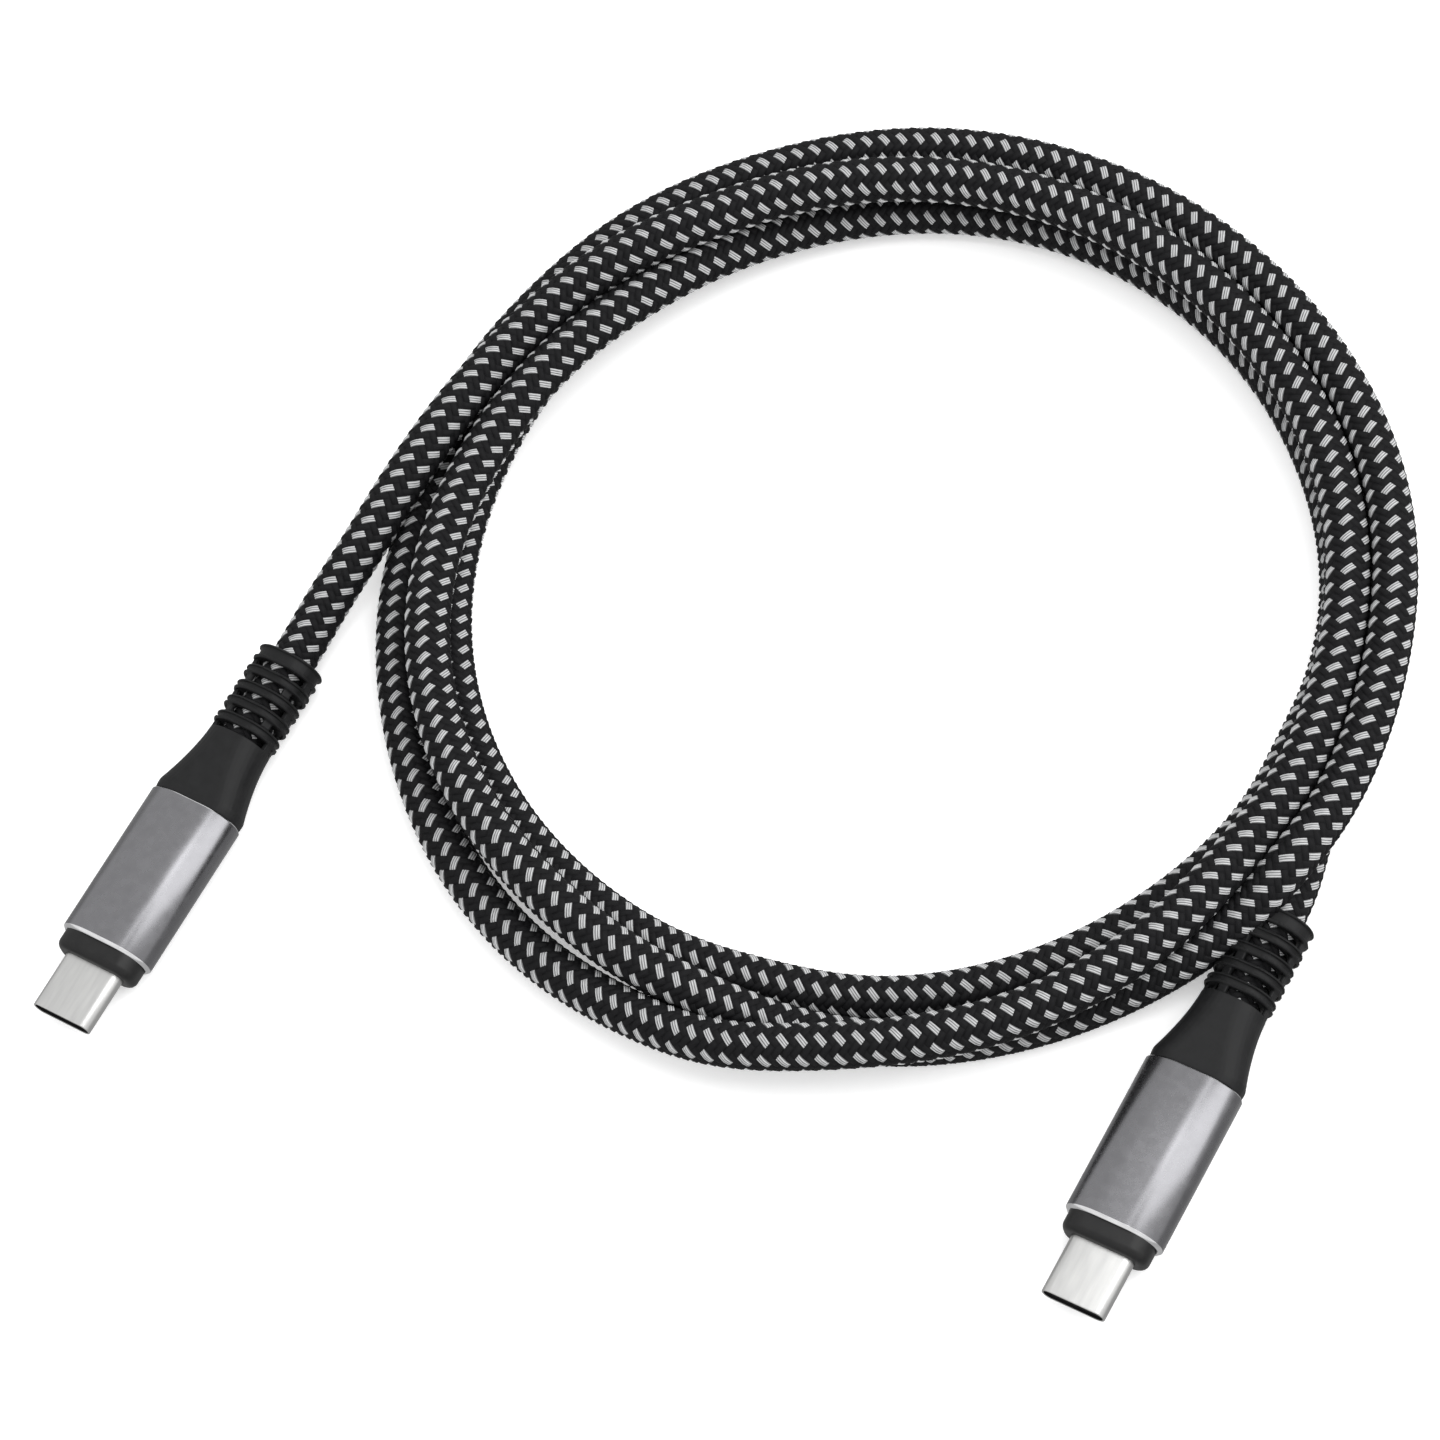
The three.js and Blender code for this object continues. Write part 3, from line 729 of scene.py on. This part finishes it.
# The strain relief: ribs with gaps between them, bridged by short webs. The webs'
# angles around the section are for even and odd gaps.
RING_LENGTH = 1.4
END_RING_LENGTH = 2.1
GAP_COUNT = 5
RINGS_LENGTH = END_RING_LENGTH + (GAP_COUNT - 1) * RING_LENGTH
GAP_LENGTH = (RIBBED_END - NECK_END - RINGS_LENGTH) / GAP_COUNT
NECK_BASE_SHARE = 0.12
NECK_CURVE = 1.7
NECK_RINGS = 25
RIB_EDGE = 0.42
WEB_INSET_ACROSS = 0.35
WEB_INSET_UP = 0.3
WEB_DEPTH = 0.55
WEB_HALF_WIDTH = 0.62
WEB_OVERLAP = 0.4
WEB_ANGLES = {
    "left": ((14, 166, 194, 346), (47, 133, 227, 313)),
    "right": ((8, 112, 188, 292), (18, 122, 198, 302)),
}
VOXEL = 0.115


def neck_part():
    """The neck: a short straight base, a hollow curve in and a straight end, bored."""
    rings = []
    start = SLEEVE_END + 0.02
    length = NECK_END - start
    for t in np.linspace(0, 1, NECK_RINGS):
        base = min(t / NECK_BASE_SHARE, 1)
        sweep = max(t - NECK_BASE_SHARE, 0) / (1 - NECK_BASE_SHARE)
        narrowing = 1 - (1 - sweep) ** NECK_CURVE
        width = NECK_BASE_WIDTH - (NECK_BASE_WIDTH - NECK_TOP_WIDTH) * narrowing
        height = NECK_BASE_HEIGHT + (NECK_TOP_HEIGHT - NECK_BASE_HEIGHT) * sweep
        inset = NECK_BASE_SHARE * (1 - base) ** 2
        rings.append((start + t * length, section(width, height, 3.0 + 0.4 * sweep, 8, inset)))
    bore = section(2 * BORE_RADIUS, 2 * BORE_RADIUS, BORE_RADIUS, 8)
    rings += [(NECK_END, bore), (start, bore)]
    return loft(rings, closed=True)


def rib_part(start, length):
    """One rib: an oval ring round at its edges."""
    edge = min(RIB_EDGE, length / 2 - 0.05)
    rings = []
    for t in np.radians([0, 30, 60, 90]):
        rings.append((start + edge * (1 - math.sin(t)), edge * (1 - math.cos(t))))
    for t in np.radians([90, 60, 30, 0]):
        rings.append((start + length - edge * (1 - math.sin(t)), edge * (1 - math.cos(t))))
    outside = [(y, section(RIB_WIDTH, RIB_HEIGHT, RIB_HEIGHT / 2, 8, inset))
               for y, inset in rings]
    bore = section(2 * BORE_RADIUS, 2 * BORE_RADIUS, BORE_RADIUS, 8)
    return loft([*outside, (start + length, bore), (start, bore)], closed=True)


def web_part(degrees, start, length):
    """A short bridge across one gap, at an angle around the section."""
    angle = math.radians(degrees)
    reach_x = RIB_WIDTH / 2 - WEB_INSET_ACROSS
    reach_z = RIB_HEIGHT / 2 - WEB_INSET_UP
    middle = np.array([reach_x * math.cos(angle), reach_z * math.sin(angle)])
    outward = np.array([math.cos(angle), math.sin(angle)])
    sideways = np.array([-outward[1], outward[0]])
    depth, half = WEB_DEPTH, WEB_HALF_WIDTH
    outline = [middle + outward * o + sideways * s
               for o, s in ((-depth, -half), (0.0, -half), (0.0, half), (-depth, half))]
    return loft([(start - WEB_OVERLAP, outline), (start + length + WEB_OVERLAP, outline)])


def strain_relief(side, looks):
    """Neck, ribs and webs, fused into one moulding with soft inner corners."""
    parts = [neck_part()]
    for i in range(GAP_COUNT):
        gap_start = NECK_END + i * (GAP_LENGTH + RING_LENGTH)
        rib_length = END_RING_LENGTH if i == GAP_COUNT - 1 else RING_LENGTH
        parts.append(rib_part(gap_start + GAP_LENGTH, rib_length))
        parts += [web_part(angle, gap_start, GAP_LENGTH) for angle in WEB_ANGLES[side][i % 2]]
    points, faces = [], []
    for part_points, part_faces in parts:
        base = sum(len(p) for p in points)
        points.append(part_points)
        faces += [tuple(base + k for k in face) for face in part_faces]
    made = new_object(f"{side}_strain_relief_moulding", np.vstack(points) / MM, faces,
                      [looks["elastomer"]])
    orient_outwards(made)
    fuse = made.modifiers.new("fuse", "REMESH")
    fuse.mode = "VOXEL"
    fuse.voxel_size = VOXEL
    soften = made.modifiers.new("soften", "SMOOTH")
    soften.factor = 0.5
    soften.iterations = 3
    apply_modifiers(made)
    local = np.empty(len(made.data.vertices) * 3, np.float32)
    made.data.vertices.foreach_get("co", local)
    world = place(side, local.reshape(-1, 3)) * MM
    made.data.vertices.foreach_set("co", world.astype(np.float32).ravel())
    made.data.update()
    made.data.polygons.foreach_set("use_smooth", np.full(len(made.data.polygons), True))
    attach(made, "root")
    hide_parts(f"{side}_strain_relief")


def apply_modifiers(made):
    bpy.context.view_layer.update()
    graph = bpy.context.evaluated_depsgraph_get()
    mesh = bpy.data.meshes.new_from_object(made.evaluated_get(graph))
    made.modifiers.clear()
    made.data = mesh


def dress_inner_nodes():
    """Materials for the CAD nodes inside the sleeves and mouths."""
    metal = {"metallic": 1.0}
    gold = grained("gold_flash", (0.75, 0.50, 0.18), (0.83, 0.60, 0.25), (0.22, 0.3),
                   0.05, 0.001, **metal)
    spring = grained("spring_strip", (0.50, 0.50, 0.51), (0.58, 0.58, 0.58), (0.25, 0.35),
                     0.04, 0.001, **metal)
    insulator = grained("black_insulator", (0.010, 0.010, 0.011), (0.016, 0.016, 0.017),
                        (0.35, 0.45), 0.06, 0.002)
    board = grained("solder_mask", (0.012, 0.055, 0.028), (0.02, 0.08, 0.04), (0.3, 0.4),
                    0.1, 0.002)
    chip = grained("epoxy_package", (0.010, 0.010, 0.011), (0.015, 0.015, 0.016), (0.5, 0.6),
                   0.05, 0.002)
    copper = grained("drawn_copper", (0.55, 0.27, 0.14), (0.66, 0.34, 0.19), (0.3, 0.4),
                     0.05, 0.001, **metal)
    milky = grained("hot_melt", (0.66, 0.64, 0.56), (0.74, 0.72, 0.64), (0.4, 0.55),
                    0.4, 0.01)
    foil = grained("pair_foil", (0.62, 0.62, 0.64), (0.72, 0.72, 0.74), (0.25, 0.4),
                   0.12, 0.006, **metal)
    red = grained("red_insulation", (0.33, 0.025, 0.015), (0.40, 0.035, 0.02), (0.35, 0.45),
                  0.1, 0.002)
    black = grained("black_insulation", (0.010, 0.010, 0.012), (0.015, 0.015, 0.017),
                    (0.35, 0.45), 0.1, 0.002)
    looks = {
        "contact_housing": insulator, "upper_contacts": gold, "lower_contacts": gold,
        "latch_spring": spring, "upper_ground_spring": spring, "lower_ground_spring": spring,
        "paddle_card": board, "marker_chip": chip, "upper_shield": spring,
        "lower_shield": spring, "crimp_ferrule": copper, "inner_moulding": milky,
        "power_wire": red, "ground_wire": black, "usb2_pair": foil,
        "data_pair_1": foil, "data_pair_2": foil, "data_pair_3": foil, "data_pair_4": foil,
    }
    for side in SIDES:
        for node, look in looks.items():
            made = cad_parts[f"{side}_{node}"]
            made.data.materials.clear()
            made.data.materials.append(look)


# ------------------------------------------------------------ camera and stage

CAMERA_ELEVATION = 62.5
CAMERA_AZIMUTH = 18.0
CAMERA_DISTANCE = 690.0
CAMERA_LENS = 139.7
LOOK_HEIGHT = 5.5
COIL_RIGHT_OF_CENTRE = 20.74
COIL_ABOVE_CENTRE = 16.67

FLOOR_REACH = 3000.0
FLOOR_GLOW = 0.35
LIGHT_BELOW = 0.5
LIGHT_ABOVE = 1.0


def make_camera():
    """Looks down at the coil from the front right, rolled as far as it is turned."""
    el, az = math.radians(CAMERA_ELEVATION), math.radians(CAMERA_AZIMUTH)
    back = Vector((math.sin(az) * math.cos(el), -math.cos(az) * math.cos(el), math.sin(el)))
    level = (-back).cross(Vector((0, 0, 1))).normalized()
    upright = level.cross(-back)
    right = level * math.cos(az) - upright * math.sin(az)
    up = level * math.sin(az) + upright * math.cos(az)
    target = Vector(COIL_MIDDLE + [0, 0, LOOK_HEIGHT])
    target -= right * COIL_RIGHT_OF_CENTRE + up * COIL_ABOVE_CENTRE
    data = bpy.data.cameras.new("camera")
    data.lens = CAMERA_LENS
    data.sensor_width = 36
    data.clip_start, data.clip_end = 0.05, 10
    camera = bpy.data.objects.new("camera", data)
    bpy.context.scene.collection.objects.link(camera)
    turned = Matrix((right, up, back)).transposed().to_4x4()
    camera.matrix_world = Matrix.Translation((target + back * CAMERA_DISTANCE) * MM) @ turned
    bpy.context.scene.camera = camera


def area_light(name, middle, target, size, power):
    """A soft rectangular light; places are in metres from the coil's middle."""
    data = bpy.data.lights.new(name, "AREA")
    data.shape = "RECTANGLE"
    data.size, data.size_y = size
    data.energy = power
    light = bpy.data.objects.new(name, data)
    bpy.context.scene.collection.objects.link(light)
    origin = Vector(COIL_MIDDLE * MM)
    light.location = origin + Vector(middle)
    direction = Vector(target) - Vector(middle)
    light.rotation_mode = "QUATERNION"
    light.rotation_quaternion = direction.to_track_quat("-Z", "Y")


def make_world():
    """White light from all round, dimmer from below the horizon."""
    world = bpy.data.worlds.new("studio")
    world.use_nodes = True
    nodes, links = world.node_tree.nodes, world.node_tree.links
    direction = nodes.new("ShaderNodeTexCoord")
    split = nodes.new("ShaderNodeSeparateXYZ")
    by_height = nodes.new("ShaderNodeMapRange")
    by_height.inputs["From Min"].default_value = -0.05
    by_height.inputs["From Max"].default_value = 0.10
    by_height.inputs["To Min"].default_value = LIGHT_BELOW
    by_height.inputs["To Max"].default_value = LIGHT_ABOVE
    links.new(direction.outputs["Generated"], split.inputs["Vector"])
    links.new(split.outputs["Z"], by_height.inputs["Value"])
    background = nodes["Background"]
    background.inputs["Color"].default_value = (1, 1, 1, 1)
    links.new(by_height.outputs["Result"], background.inputs["Strength"])
    bpy.context.scene.world = world


def make_stage():
    """A white floor that the plugs don't mirror, two soft lights and the world."""
    floor_look = Look("floor", 0.9)
    broad = floor_look.noise(floor_look.coordinates(size=(0.5, 0.5, 0.5)))
    floor_look.colour(broad, (0.90, 0.90, 0.90), (0.92, 0.92, 0.92))
    floor_look.shader.inputs["Emission Color"].default_value = (1.0, 1.0, 1.0, 1.0)
    floor_look.shader.inputs["Emission Strength"].default_value = FLOOR_GLOW
    size = FLOOR_REACH
    corners = [(-size, -size, -0.1), (size, -size, -0.1), (size, size, -0.1),
               (-size, size, -0.1)]
    floor = new_object("floor", corners, [(0, 1, 2, 3)], [floor_look.material])
    floor.visible_glossy = False
    area_light("near_strip", (0.22, 0.30, 1.0), (0, 0, 0), (0.14, 1.4), 1.7)
    area_light("wide_box", (0.85, 0.10, 1.0), (0, 0, 0), (0.9, 1.7), 12.0)
    make_world()
    bpy.context.scene.view_settings.view_transform = "Standard"


make_camera()
make_cable()
for each_side in SIDES:
    side_looks = plug_looks(each_side)
    tongue(each_side, side_looks)
    collar(each_side, side_looks)
    metal_sleeve(each_side, side_looks)
    strain_relief(each_side, side_looks)
dress_inner_nodes()
make_stage()
